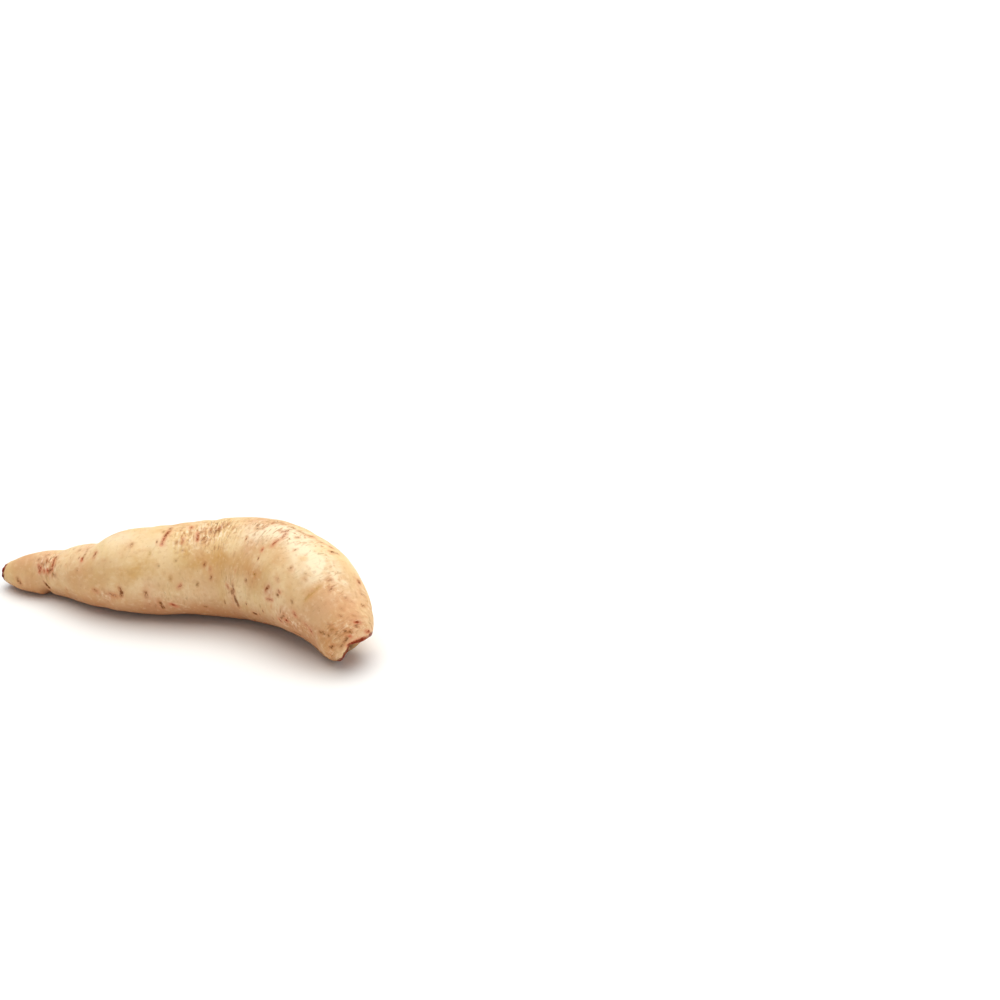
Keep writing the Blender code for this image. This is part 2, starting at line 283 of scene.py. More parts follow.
# The marks that the picture shows, on the side towards the camera. A chain of them low on the crown is
# painted shade.
MARKS = tuple(
    Mark(*values)
    for values in (
        (11.5, 9, 12.1, -2, 0.35, 0.6, 0.5),
        (12.3, -4, 12.9, -8, 0.35, 0.45, 0.5),
        (21.3, 63, 21.9, 65, 0.3, 0.5, 0.5),
        (22.0, 46, 23.3, 34, 0.3, 0.6, 0.9),
        (23.2, 33, 23.1, 29, 0.35, 0.9, 0.9),
        (23.6, 41, 24.0, 36, 0.35, 0.9, 0.9),
        (24.5, 51, 24.3, 48, 0.3, 0.7, 0.6),
        (25.9, -5, 27.7, -18, 0.6, 0.95, 0.45),
        (26.1, 31, 26.4, 29, 0.3, 0.75, 0.95),
        (26.1, 49, 25.7, 45, 0.25, 0.5, 0.5),
        (27.2, 57, 27.2, 52, 0.35, 0.8, 0.5),
        (28.8, 32, 28.9, 29, 0.35, 0.9, 0.95),
        (30.0, 30, 29.7, 26, 0.3, 0.9, 0.7),
        (30.6, 34, 30.9, 29, 0.3, 0.85, 0.7),
        (31.3, 68, 31.7, 64, 0.35, 0.85, 0.5),
        (31.4, 63, 32.1, 47, 0.3, 0.8, 0.75),
        (31.8, 36, 32.2, 32, 0.35, 0.8, 0.8),
        (32.0, 44, 32.0, 38, 0.5, 1.0, 0.8),
        (32.9, 24, 32.5, 20, 0.3, 0.6, 0.5),
        (34.6, 20, 34.1, 18, 0.3, 0.6, 0.5),
        (44.7, 78, 44.8, 74, 0.35, 0.4, 0.5),
        (47.9, 31, 48.0, 28, 0.35, 0.35, 0.4),
        (49.3, 78, 50.3, 66, 0.22, 0.3, 0.5),
        (49.7, 52, 49.7, 48, 0.4, 0.9, 0.9),
        (50.3, 60, 49.9, 50, 0.35, 0.6, 0.35),
        (56.0, -2, 57.1, -4, 0.3, 0.5, 0.7),
        (57.1, 57, 56.6, 50, 0.3, 0.7, 0.7),
        (62.5, -7, 65.0, -9, 0.4, 0.4, 0.75),
        (67.4, 4, 67.8, -2, 0.4, 0.8, 0.6),
        (67.9, -2, 67.2, -9, 0.4, 0.8, 0.6),
        (72.3, 66, 72.1, 62, 0.25, 0.6, 0.5),
        (77.3, -2, 77.3, -11, 0.35, 0.6, 0.5),
        (80.0, 52, 80.1, 47, 0.35, 0.35, 0.15),
        (82.3, -18, 83.1, -31, 0.45, 0.8, 0.5),
        (83.5, 33, 83.5, 31, 0.35, 0.4, 0.35),
        (84.9, 80, 85.0, 83, 0.3, 0.5, 0.3),
        (85.7, 70, 84.7, 60, 0.3, 0.6, 0.95),
        (87.2, -22, 89.0, -26, 0.35, 0.75, 1.0),
        (87.2, 82, 85.7, 71, 0.28, 0.85, 0.7),
        (87.5, 86, 87.6, 89, 0.3, 0.7, 0.5),
        (88.6, 17, 88.4, 14, 0.45, 0.4, 0.3),
        (88.6, 18, 88.6, 16, 0.5, 0.5, 0.25),
        (90.8, 37, 91.2, 38, 0.3, 0.4, 0.35),
        (91.0, 63, 91.0, 60, 0.3, 0.6, 0.4),
        (92.8, 8, 91.8, 4, 0.3, 0.45, 1.0),
        (93.5, 50, 94.3, 50, 0.25, 0.4, 0.4),
        (93.9, 67, 93.5, 60, 0.3, 0.4, 0.8),
        (96.4, 87, 96.3, 90, 0.35, 0.7, 0.75),
        (100.0, 74, 100.2, 62, 0.4, 0.75, 0.8),
        (100.4, 10, 100.1, 6, 0.35, 0.5, 0.35),
        (101.4, 74, 102.5, 76, 0.25, 0.6, 0.45),
        (101.7, -25, 102.8, -26, 0.35, 0.65, 0.45),
        (102.4, 83, 101.4, 75, 0.2, 0.4, 0.6),
        (102.5, 62, 103.0, 64, 0.25, 0.5, 0.6),
        (103.6, 58, 104.8, 62, 0.25, 0.7, 0.45),
        (104.2, 33, 104.0, 30, 0.4, 0.65, 0.6),
        (105.8, 70, 106.7, 75, 0.25, 0.55, 0.5),
        (105.9, 84, 105.3, 72, 0.2, 0.5, 0.5),
        (107.1, 27, 107.0, 24, 0.35, 0.3, 0.9),
        (107.5, 18, 107.1, 14, 0.3, 0.55, 0.6),
        (108.1, 70, 108.5, 76, 0.3, 0.75, 0.5),
        (109.9, 72, 110.3, 76, 0.35, 0.8, 0.35),
        (111.0, 88, 110.1, 78, 0.25, 0.6, 0.6),
        (113.0, 90, 112.7, 80, 0.2, 0.45, 0.5),
        (114.8, -14, 114.7, -18, 0.3, 0.6, 0.4),
        (118.9, 7, 121.3, 4, 0.35, 0.35, 1.0),
        (123.3, 44, 123.4, 40, 0.3, 0.4, 0.35),
        (123.6, 2, 124.1, -3, 1.2, 0.45, 0.65),
        (124.6, -2, 124.7, -4, 1.2, 0.6, 0.65),
        (124.9, 3, 126.6, 1, 1.4, 0.6, 0.6),
        (125.3, -5, 126.3, -8, 1.4, 0.55, 0.6),
        (125.3, 9, 125.4, 6, 1.0, 0.4, 0.6),
        (126.0, -9, 126.8, -14, 1.4, 0.65, 0.55),
        (126.4, -5, 127.4, -9, 1.2, 0.4, 0.6),
        (126.9, -15, 127.5, -20, 1.2, 0.55, 0.55),
        (127.2, -10, 128.0, -15, 1.2, 0.45, 0.6),
        (128.1, -16, 128.5, -19, 1.2, 0.35, 0.6),
        (129.1, 78, 132.2, 80, 0.22, 0.45, 0.4),
        (131.9, 83, 132.5, 90, 0.2, 0.35, 0.5),
        (133.1, 93, 135.8, 102, 0.2, 0.45, 0.5),
        (136.0, 17, 136.7, 16, 0.5, 0.65, 0.5),
        (138.6, -26, 141.2, -27, 0.55, 1.0, 0.5),
        (139.5, 56, 139.6, 54, 0.25, 0.6, 0.9),
        (141.0, 85, 142.3, 91, 0.25, 0.4, 0.8),
        (141.2, 26, 142.1, 26, 0.45, 0.7, 0.25),
        (142.9, 72, 143.6, 74, 0.25, 0.5, 0.8),
        (143.1, 87, 144.0, 78, 0.22, 0.5, 0.8),
        (143.3, 64, 143.1, 70, 0.3, 0.65, 0.8),
        (144.0, 102, 147.0, 106, 0.2, 0.4, 0.5),
        (147.4, -10, 147.4, -12, 0.3, 0.4, 0.35),
        (147.6, 90, 148.0, 93, 0.3, 0.55, 0.5),
        (147.8, 106, 149.6, 112, 0.2, 0.4, 0.7),
        (152.5, 111, 153.5, 114, 0.25, 0.45, 0.6),
        (153.8, 4, 158.2, 8, 0.3, 0.45, 0.95),
        (154.4, 21, 152.6, 15, 0.35, 1.0, 0.65),
        (157.0, -22, 157.0, -24, 0.4, 0.6, 0.5),
        (157.3, 35, 158.1, 34, 0.3, 0.35, 0.8),
        (158.9, 57, 159.2, 54, 0.3, 0.5, 0.45),
        (159.6, 112, 159.9, 116, 0.3, 0.8, 0.6),
        (159.8, 116, 160.6, 120, 0.2, 0.5, 0.5),
        (160.2, 19, 161.4, 19, 0.5, 0.7, 0.4),
        (160.2, 24, 161.6, 24, 0.4, 0.5, 0.8),
        (163.0, -16, 164.3, -19, 0.4, 0.8, 0.9),
        (164.3, 64, 165.1, 64, 0.22, 0.3, 0.5),
        (164.7, -11, 166.9, -2, 0.3, 0.6, 0.6),
        (166.1, 60, 166.9, 60, 0.25, 0.4, 0.5),
        (167.9, -8, 168.5, -9, 0.5, 0.95, 0.85),
        (168.4, 28, 169.1, 25, 0.35, 0.4, 0.4),
        # Painted shade: the chain of marks from 169.5 to 195.3 mm along, at -21 to -43 degrees, darkens
        # the crown's lower edge.
        (169.5, -37, 173.6, -38, 0.45, 0.8, 0.5),
        (171.3, 83, 171.6, 88, 0.35, 0.5, 0.5),
        (171.6, 15, 172.6, 12, 0.4, 0.5, 1.0),
        (172.8, 42, 172.1, 70, 0.4, 0.35, 0.0),
        (175.3, 78, 174.9, 83, 0.25, 0.5, 0.5),
        (175.8, -39, 179.9, -43, 0.4, 0.7, 0.45),
        (178.3, 10, 179.3, 9, 0.25, 0.4, 0.8),
        (180.1, 94, 180.3, 98, 0.35, 0.3, 0.4),
        (180.9, 8, 182.2, 4, 0.4, 0.6, 1.0),
        (181.6, -42, 186.0, -37, 0.45, 0.8, 0.5),
        (183.4, 123, 183.4, 131, 0.4, 0.6, 0.4),
        (183.6, 81, 184.3, 84, 0.25, 0.4, 0.5),
        (186.0, 26, 188.8, 36, 0.35, 0.6, 0.4),
        (186.0, 73, 186.7, 76, 0.25, 0.4, 0.5),
        (186.5, 50, 187.6, 51, 0.3, 0.35, 0.5),
        (187.9, -33, 191.8, -24, 0.4, 0.7, 0.45),
        (188.2, 92, 188.6, 94, 0.4, 0.4, 0.35),
        (188.6, 130, 190.8, 126, 0.35, 0.25, 0.3),
        (189.3, -24, 191.2, -21, 0.45, 0.9, 0.4),
        (189.6, 46, 190.0, 52, 0.4, 0.45, 0.35),
        (190.0, 39, 191.0, 38, 0.4, 0.6, 0.4),
        (191.7, 87, 192.2, 94, 0.5, 0.8, 0.85),
        (193.0, -22, 195.3, -27, 0.45, 0.8, 0.5),
        (193.0, 63, 193.7, 62, 0.5, 0.7, 0.45),
        (193.4, 83, 193.9, 86, 0.6, 0.85, 0.6),
        (194.8, 67, 194.9, 70, 0.5, 0.7, 0.4),
        (194.9, 26, 195.1, 32, 0.5, 0.75, 0.5),
        (196.1, 60, 197.2, 50, 0.4, 0.7, 0.45),
        (196.3, 64, 196.6, 64, 0.35, 0.7, 1.0),
        (197.3, 101, 196.8, 112, 0.4, 0.8, 0.85),
        (197.8, 46, 198.2, 40, 0.35, 0.75, 0.4),
        (200.1, 52, 200.5, 68, 0.7, 1.0, 0.95),
        (200.5, 69, 200.7, 90, 0.7, 1.0, 0.95),
    )
)

# Marks of the same kinds, drawn with a seed, on the side that the picture doesn't show.
HIDDEN_MARKS = 95
HIDDEN_ALONG = (7.0, 196.0)
HIDDEN_AROUND = (118.0, 308.0)
HIDDEN_LENGTH = (0.8, 5.5)
HIDDEN_SHORTENING = (0.4, 1.0)
HIDDEN_SLANT = 28.0
HIDDEN_WIDTH = (0.2, 0.45)
HIDDEN_STRENGTH = (0.3, 0.9)
HIDDEN_TONE = (0.35, 1.0)
HIDDEN_SEED = 31

PATCHES = tuple(
    Patch(*values)
    for values in (
        (13, 68, 5, 5, 0.5, 0.0, 0.0),
        (16, 4, 4, 3, 0.5, 0.0, 0.0),
        (28, 46, 6, 6, 0.45, 0.1, 1.0),
        (40, 33, 9, 8, 0.45, 0.35, 0.0),
        (40, 92, 8, 6, 0.0, -0.3, 0.2),
        (60, -10, 4, 3, 0.6, 0.2, 0.4),
        (62, 40, 3, 3, 0.4, 0.0, 0.0),
        (64, -8, 3, 2.5, 0.7, 0.5, 0.2),
        (66, 80, 9, 7, 0.0, -0.6, 0.0),
        (72, 24, 5, 5, 0.0, 0.25, 0.0),
        (76, 34, 8, 6, 0.0, 0.8, 0.0),
        (83, 60, 6, 4, 0.0, -0.5, 0.0),
        (88, -14, 12, 7, 0.3, 0.0, 0.2),
        (93, 70, 5, 6, 0.2, 0.1, 0.7),
        (95, 48, 3.5, 3, 0.0, 0.7, 0.1),
        (99, 60, 2.4, 7, 0.0, -0.7, 0.1),
        (100, 34, 6, 4, 0.0, 0.75, 0.0),
        (106, 0, 7, 4, 0.0, -0.2, 0.0),
        (108, 76, 11, 9, 0.1, 0.0, 1.0),
        (113, 37, 7, 5, 0.1, 0.85, 0.0),
        (122, 6, 5, 6, 0.4, 0.1, 0.5),
        (127, 74, 8, 7, 0.0, -0.6, 0.1),
        (129, 36, 7, 5, 0.0, 0.65, 0.1),
        (132, -2, 8, 4, 0.0, -0.3, 0.1),
        (135, 70, 6, 6, 0.0, -0.4, 0.1),
        (137, 91, 12, 9, 0.1, 0.0, 0.8),
        (141, 25, 6, 5, 1.0, 0.8, 0.2),
        (143, 88, 10, 7, 0.0, -0.9, 0.0),
        (152, 103, 10, 6, 0.15, 0.0, 0.5),
        (155, 15, 4, 3, 0.8, 0.2, 0.2),
        (155, 80, 8, 7, 0.0, -0.5, 0.0),
        (159, 76, 2, 2, 0.0, 0.9, 0.0),
        (162, 14, 9, 4, 0.0, -0.4, 0.0),
        # Painted highlight: these two cream patches lighten the bend where the highlight falls.
        (163, 90, 8, 8, 0.0, -0.6, 0.0),
        (165, 70, 9, 8, 0.0, -0.6, 0.0),
        (168, -10, 7, 5, 0.5, 0.0, 0.7),
        # Painted shade: this patch deepens the shaded lower flank before the crown to a redder tan.
        (170, -4, 10, 7, 0.7, 0.5, 0.0),
        (172, 85, 6, 6, 0.0, 0.0, 0.35),
        (173, 56, 2, 7, 0.0, 0.7, 0.0),
        (175, 104, 7, 6, 0.0, -0.7, 0.1),
        (178, 2, 9, 6, 0.4, 0.1, 0.3),
        (180, 122, 10, 9, 0.45, 0.4, 0.0),
        (181, 123, 6, 5, 0.0, -0.4, 0.0),
        # Painted shade: these two patches deepen the crown's lower lobe to a darker, redder tan.
        (191, 16, 10, 11, 0.65, 0.5, 0.0),
        (192, 62, 8, 10, 0.3, 0.25, 0.0),
        (193, 40, 6, 7, 0.3, 0.1, 0.25),
        (193, 80, 5, 6, 0.5, 0.2, 0.5),
        (197, 3, 3, 4, 1.0, 0.2, 0.1),
        (198, 16, 3, 3, 0.5, 0.4, 0.3),
        # Where the picture doesn't show the skin.
        (32, 200, 8, 6, 0.4, 0.1, 0.7),
        (50, 160, 9, 7, 0.0, -0.6, 0.1),
        (70, 150, 10, 8, 0.1, 0.5, 0.3),
        (84, 215, 9, 7, 0.4, 0.2, 0.6),
        (98, 160, 10, 8, 0.0, -0.5, 0.2),
        (112, 170, 12, 9, 0.1, 0.4, 0.5),
        (132, 235, 9, 8, 0.5, 0.1, 0.4),
        (135, 150, 10, 8, 0.0, -0.7, 0.1),
        (150, 190, 9, 9, 0.1, 0.6, 0.5),
        (166, 160, 10, 8, 0.0, -0.5, 0.2),
        (171, 215, 8, 8, 0.5, 0.2, 0.6),
        (180, 150, 8, 7, 0.2, 0.3, 0.3),
        (198, -40, 4, 8, 0.3, 0.6, 0.4),
        (198, 130, 4, 8, 0.3, 0.4, 0.4),
        (198, 210, 4, 8, 0.4, 0.5, 0.4),
    )
)


def smooth_through(knots, values, at):
    """A natural cubic spline through the values at the knots, read at the given places."""
    gap = np.diff(knots)
    slope = np.diff(values, axis=0) / gap[:, None]
    count = len(knots)
    system = np.eye(count)
    wanted = np.zeros_like(values)
    for k in range(1, count - 1):
        system[k, k - 1 : k + 2] = gap[k - 1], 2 * (gap[k - 1] + gap[k]), gap[k]
        wanted[k] = 6 * (slope[k] - slope[k - 1])
    bend = np.linalg.solve(system, wanted)
    k = np.clip(np.searchsorted(knots, at) - 1, 0, count - 2)
    past, left, step = (at - knots[k])[:, None], (knots[k + 1] - at)[:, None], gap[k][:, None]
    curve = (bend[k] * left**3 + bend[k + 1] * past**3) / (6 * step)
    line = (values[k] / step - bend[k] * step / 6) * left
    return curve + line + (values[k + 1] / step - bend[k + 1] * step / 6) * past


def axis_knots():
    """The stations' distances from the end of the tail, measured from station to station."""
    points = np.array(AXIS)[:, :3]
    return np.concatenate([[0.0], np.cumsum(np.linalg.norm(np.diff(points, axis=0), axis=1))])


def unit(vectors):
    """The same directions, one long."""
    return vectors / np.linalg.norm(vectors, axis=-1)[..., None]


def axis_at(along):
    """The rings' middles and radii, how fast the radius grows, and the ways ahead, aside and up."""
    knots, stations = axis_knots(), np.array(AXIS)
    step = 0.05
    here = smooth_through(knots, stations, along)
    change = here - smooth_through(knots, stations, along - step)
    change /= np.linalg.norm(change[:, :3], axis=1)[:, None]
    ahead = change[:, :3]
    side = unit(np.cross(ahead, (0.0, 0.0, 1.0)))
    return here[:, :3], here[:, 3], change[:, 3], ahead, side, np.cross(side, ahead)


def radius_at(along):
    """The plain body's radius at one place. Past the body's end it stays the last one."""
    return float(axis_at(np.array([min(along, axis_knots()[-1])]))[1][0])


def wrapped(degrees):
    """The same angle, from -180 to 180 degrees."""
    return (degrees + 180.0) % 360.0 - 180.0


def waviness(along, around):
    """Slow waves: a sum of cosines that run along and around the root, with seeded phases."""
    draw = np.random.default_rng(WAVE_SEED)
    height = 0.0
    for _ in range(WAVES):
        length = draw.uniform(SHORTEST_WAVE, LONGEST_WAVE)
        turns = draw.integers(-MOST_WAVES_AROUND, MOST_WAVES_AROUND + 1)
        phase = draw.uniform(0, 2 * math.pi)
        height = height + np.cos(2 * math.pi * along / length + turns * np.radians(around) + phase)
    return WAVE_HEIGHT * height


def swelling_height(swelling, along, around):
    """A smooth bump: a bell curve along the root times a bell curve around it."""
    far = (along - swelling.along) / swelling.length
    turn = wrapped(around - swelling.around) / swelling.width
    return swelling.rise * np.exp(-(far**2) - turn**2)


def crease_height(crease, along, around):
    """A groove with a bell-curve section and a raised lip towards the tail, faded at its ends."""
    turn = wrapped(around - crease.around)
    across = (along - crease.along - crease.slant * turn / 90.0) / crease.breadth
    fade = np.clip(1 - (turn / crease.reach) ** 2, 0, 1) ** 2
    lip = LIP_HEIGHT * np.exp(-((across + LIP_OFFSET) ** 2))
    return crease.depth * fade * (lip - np.exp(-(across**2)))


def relief(along, around):
    """How far each place on the skin stands out from the plain body, in the solid's own forms."""
    height = waviness(along, around)
    for swelling in SWELLINGS:
        height = height + swelling_height(swelling, along, around)
    for crease in CREASES:
        height = height + crease_height(crease, along, around)
    return height


def break_bumps(outward):
    """The unevenness of the broken faces: cosines that run across them, with seeded ways."""
    draw = np.random.default_rng(BREAK_SEED)
    height = 0.0
    for _ in range(BREAK_BUMPS):
        way = unit(draw.normal(size=3)) / draw.uniform(SHORTEST_BUMP, LONGEST_BUMP)
        phase = draw.uniform(0, 2 * math.pi)
        height = height + np.cos(2 * math.pi * BREAKS[0].distance * (outward @ way) + phase)
    return BREAK_BUMP_HEIGHT * height


def uneven(waves, places):
    """A sum of cosines over places in space, each with a seeded way, length and phase.

    A longer wave is higher, in proportion. The first coordinate runs along the root, and the waves
    are stretched across it.
    """
    draw = np.random.default_rng(waves.seed)
    lengths = np.exp(draw.uniform(math.log(waves.shortest), math.log(waves.longest), waves.count))
    ways = unit(draw.normal(size=(waves.count, 3))) / lengths[:, None]
    ways[:, 1:] /= waves.stretch
    phases = draw.uniform(0, 2 * math.pi, waves.count)
    total = np.zeros(places.shape[:-1])
    for way, length, phase in zip(ways, lengths, phases):
        total += length * np.cos(2 * math.pi * (places @ way) + phase)
    return waves.height * total / math.sqrt(np.sum(lengths**2) / 2)


def hidden_marks():
    """Seeded marks: each runs across the root, a little slanted, at a random place."""
    draw = np.random.default_rng(HIDDEN_SEED)
    marks = []
    for _ in range(HIDDEN_MARKS):
        along, around = draw.uniform(*HIDDEN_ALONG), draw.uniform(*HIDDEN_AROUND)
        length = draw.uniform(*HIDDEN_LENGTH) * draw.uniform(*HIDDEN_SHORTENING)
        slant = math.radians(draw.uniform(-HIDDEN_SLANT, HIDDEN_SLANT))
        turn = math.degrees(length * math.cos(slant) / radius_at(along))
        marks.append(
            Mark(
                along,
                around,
                along + length * math.sin(slant),
                around + turn,
                draw.uniform(*HIDDEN_WIDTH),
                draw.uniform(*HIDDEN_STRENGTH),
                draw.uniform(*HIDDEN_TONE),
            )
        )
    return marks


def mark_fields(marks, along, around, radius):
    """Each place's nearest mark, and how the marks dent the skin.

    On the unrolled skin a mark is a straight line. A place's distance aside from the line is signed,
    its distance past the line's end is below zero beside it, and the two give its distance in all.
    A mark's groove is a bell curve of the distance aside, with a lip on each side. The result is the
    distances aside, past and in all, the nearest mark's half width, strength and tone, and the height.
    """
    nearest = np.full(along.shape, FAR_AWAY)
    fields = np.zeros(along.shape + (6,))
    fields[..., :3] = FAR_AWAY
    height = np.zeros(along.shape)
    for mark in marks:
        middle = (mark.along + mark.end_along) / 2, (mark.around + mark.end_around) / 2
        run = mark.end_along - mark.along
        rise = math.radians(mark.end_around - mark.around) * radius_at(middle[0])
        length = math.hypot(run, rise)
        ahead = along - middle[0]
        across = np.radians(wrapped(around - middle[1])) * radius
        past = np.abs(ahead * run + across * rise) / length - length / 2
        aside = (ahead * rise - across * run) / length
        distance = np.hypot(np.maximum(past, 0), aside)
        here_nearest = distance < nearest
        nearest = np.where(here_nearest, distance, nearest)
        looks = np.broadcast_to((mark.half_width, mark.strength, mark.tone), along.shape + (3,))
        found = np.concatenate([np.stack([aside, past, distance], axis=-1), looks], axis=-1)
        fields = np.where(here_nearest[..., None], found, fields)
        share = distance / mark.half_width
        lip = MARK_LIP * np.exp(-((share - MARK_LIP_OFFSET) ** 2))
        height += MARK_DEPTH * mark.half_width * mark.strength * (lip - np.exp(-(share**2) / MARK_SPREAD))
    return fields, height


def patch_fields(patches, along, around, radius):
    """How pink, ochre and rough each place is: for each patch, a bell curve of the distance from it."""
    total = np.zeros(along.shape + (3,))
    for patch in patches:
        ahead = (along - patch.along) / patch.length
        across = np.radians(wrapped(around - patch.around)) * radius / patch.width
        share = np.exp(-(ahead**2) - across**2)
        total += share[..., None] * np.array((patch.pink, patch.ochre, patch.rough))
    return total


class Crown(NamedTuple):
    """The ball that the body runs into, and its columns: great circles to the pole."""

    start: float
    middle: np.ndarray
    ball: float
    pole: np.ndarray
    away: np.ndarray
    first: np.ndarray
    rim: np.ndarray


def crown_columns(around):
    """The crown's ball and its columns, at the given angles around the root.

    The ball touches the body's last ring, and each column's rim is where the column meets the nearer
    of the two broken faces.
    """
    start_along = axis_knots()[-1]
    point, radius, growth, ahead, side, up = (value[0] for value in axis_at(np.array([start_along])))
    meeting = math.atan(-growth)
    ball = radius / math.cos(meeting)
    middle = point - ahead * ball * math.sin(meeting)
    turn = np.radians(around)[:, None]
    start = (side * np.cos(turn) + up * np.sin(turn)) * math.cos(meeting) + ahead * math.sin(meeting)
    pole = unit(np.sum([face.facing for face in BREAKS], axis=0))
    away = unit(start - (start @ pole)[:, None] * pole)
    rim = np.full(len(around), math.pi)
    for face in BREAKS:
        facing = unit(np.array(face.facing))
        sideways, straight = away @ facing, pole @ facing
        most = np.hypot(sideways, straight)
        rim = np.minimum(rim, np.arctan2(sideways, straight) + np.arccos(face.distance / ball / most))
    return Crown(start_along, middle, ball, pole, away, np.arccos(start @ pole), rim)


def body_points(along, around, detail):
    """The body's skin: slightly oval rings across the axis, closed by an ellipse at the tail.

    The relief and the finer detail are added along the plain body's normal.
    """
    tail = np.clip(1 - along / TAIL_END, 0, 1)
    point, radius, growth, ahead, side, up = axis_at(along)
    closing = np.sqrt(1 - tail**2)
    lean = -radius * tail / TAIL_END - growth * closing**2
    turn = np.radians(around)
    out = side[:, None] * np.cos(turn)[:, None] + up[:, None] * np.sin(turn)[:, None]
    share = (along / axis_knots()[-1])[:, None]
    oval = OVAL * (1 - share) * np.cos(2 * turn - 2 * np.radians(OVAL_TURN) * share)
    normal = unit(out * closing[:, None, None] + (ahead * lean[:, None])[:, None])
    height = relief(along[:, None], around[None]) * closing[:, None] + detail
    points = point[:, None] + out * ((radius * closing)[:, None] * (1 + oval))[..., None]
    return points + normal * height[..., None]


def crown_points(crown, angle, along, around, detail):
    """The crown: the ball with its relief and detail, cut by the two uneven faces of the break.

    Each place takes the lesser of the skin's reach and the break's limit, blended smoothly, and a
    lip stands around the rim. The result is the points, and how far the skin would pass the break.
    """
    outward = np.cos(angle)[..., None] * crown.pole + np.sin(angle)[..., None] * crown.away
    leans = [np.maximum(outward @ unit(np.array(face.facing)), LEAST_LEAN) for face in BREAKS]
    near, far = np.sort([face.distance / lean for face, lean in zip(BREAKS, leans)], axis=0)
    crevice = CREVICE_DEPTH * np.exp(-(((far - near) / CREVICE_WIDTH) ** 2))
    fibres = uneven(BREAK_FIBRES, outward * BREAKS[0].distance)
    limit = far - crevice + break_bumps(outward) + fibres
    reach = crown.ball + (relief(along, around[None]) + detail) * np.sqrt(np.sin(angle))
    beyond = reach - limit
    kept = 0.5 * (reach + limit - np.sqrt(beyond**2 + BREAK_ROUNDING**2))
    kept += BREAK_LIP * np.exp(-((beyond / BREAK_LIP_WIDTH) ** 2))
    return crown.middle + outward * kept[..., None], beyond


def root_skin():
    """The whole skin on its grid: the points, and for each point the numbers that its looks read.

    The rows run from the tip of the tail to the middle of the break. Straight gives each point's
    place on the root as if it were unbent: its distance along, and its place across the axis.
    Outwards is the way from the axis to it, as its shares aside and up.
    """
    around = np.linspace(0, 360, POINTS_AROUND, endpoint=False)
    quarter = np.linspace(0, math.pi / 2, TAIL_RINGS + 1)[:-1]
    tail = TAIL_END * (1 - np.cos(quarter))
    body = np.concatenate([tail, np.linspace(TAIL_END, axis_knots()[-1], BODY_RINGS)])
    crown = crown_columns(around)
    over_skin = np.linspace(0, 1, CROWN_RINGS + 1)[1:, None]
    over_break = np.linspace(0, 1, BREAK_RINGS + 1)[1:, None]
    skin_angle = crown.first + (crown.rim - crown.first) * over_skin
    angle = np.concatenate([skin_angle, crown.rim * (1 - over_break)])

    tail_share = np.clip(1 - body / TAIL_END, 0, 1)
    body_radius = axis_at(body)[1] * np.sqrt(1 - tail_share**2)
    crown_radius = body_radius[-1] * np.sin(angle) / np.sin(crown.first)
    body_grid = np.broadcast_to(body[:, None], (len(body), len(around)))
    along = np.concatenate([body_grid, crown.start + crown.ball * (crown.first - angle)])
    radius = np.concatenate([np.broadcast_to(body_radius[:, None], body_grid.shape), crown_radius])
    turn = np.radians(around)
    straight = np.stack([along, radius * np.cos(turn), radius * np.sin(turn)], axis=-1)
    outwards = np.broadcast_to(np.stack([np.cos(turn), np.sin(turn), 0 * turn], axis=-1), straight.shape)

    marks, dents = mark_fields([*MARKS, *hidden_marks()], along, around[None], radius)
    scab_reach = SCAB_REACH + SCAB_SIDE_REACH * np.cos(turn - math.radians(SCAB_SIDE))
    scab = np.exp(-((along / scab_reach) ** 2))
    detail = uneven(LUMPS, straight) + uneven(WRINKLES, straight)
    detail += dents + scab * uneven(TAIL_SCAB_RELIEF, straight)
    for crease in FINE_CREASES:
        detail += crease_height(crease, along, around[None])

    rows = len(body)
    lower = body_points(body, around, detail[:rows])
    upper, beyond = crown_points(crown, angle, along[rows:], around, detail[rows:])
    points = np.concatenate([lower, upper])
    passed = np.concatenate([np.full(body_grid.shape, -FAR_AWAY), beyond])
    from_middle = np.concatenate([np.ones(body_grid.shape), angle / crown.rim])
    numbers = {
        "straight": straight,
        "outwards": outwards,
        "mark": marks[..., :3],
        "mark_look": marks[..., 3:],
        "tint": patch_fields(PATCHES, along, around[None], radius),
        "ends": np.stack([passed, from_middle, scab], axis=-1),
    }
    return np.concatenate([points[..., :2], np.maximum(points[..., 2:], 0.0)], axis=-1), numbers


def flat_list(grid):
    """The grid's values as a list of vertices: the first and last rows have each shrunk to one."""
    return np.concatenate([grid[:1, 0], grid[1:-1].reshape(-1, grid.shape[2]), grid[-1:, 0]])


def closed_faces(rows, columns):
    """Faces of the closed grid: a fan, then strips of squares, then a fan, all facing outwards."""
    here = np.arange(columns)
    following = (here + 1) % columns
    row = 1 + np.arange(rows - 3)[:, None] * columns
    squares = np.stack([row + here, row + columns + here, row + columns + following, row + following], -1)
    end = 1 + (rows - 3) * columns
    last = end + columns
    first_fan = np.stack([np.zeros(columns, int), 1 + here, 1 + following], -1)
    last_fan = np.stack([end + here, np.full(columns, last), end + following], -1)
    return first_fan.tolist() + squares.reshape(-1, 4).tolist() + last_fan.tolist()


def linear(hex_colour):
    """A colour given as sRGB hex, in the linear values that the shader takes."""
    channels = np.array([int(hex_colour[k : k + 2], 16) for k in (1, 3, 5)]) / 255
    low, high = channels / 12.92, ((channels + 0.055) / 1.055) ** 2.4
    return (*np.where(channels <= 0.04045, low, high).tolist(), 1.0)


def add(tree, kind, inputs, **settings):
    """Adds a node: its settings, and its inputs, each a value or the socket that feeds it."""
    node = tree.nodes.new(kind)
    for name, value in settings.items():
        setattr(node, name, value)
    for key, value in inputs.items():
        if isinstance(value, bpy.types.NodeSocket):
            tree.links.new(value, node.inputs[key])
        else:
            node.inputs[key].default_value = value
    return node.outputs


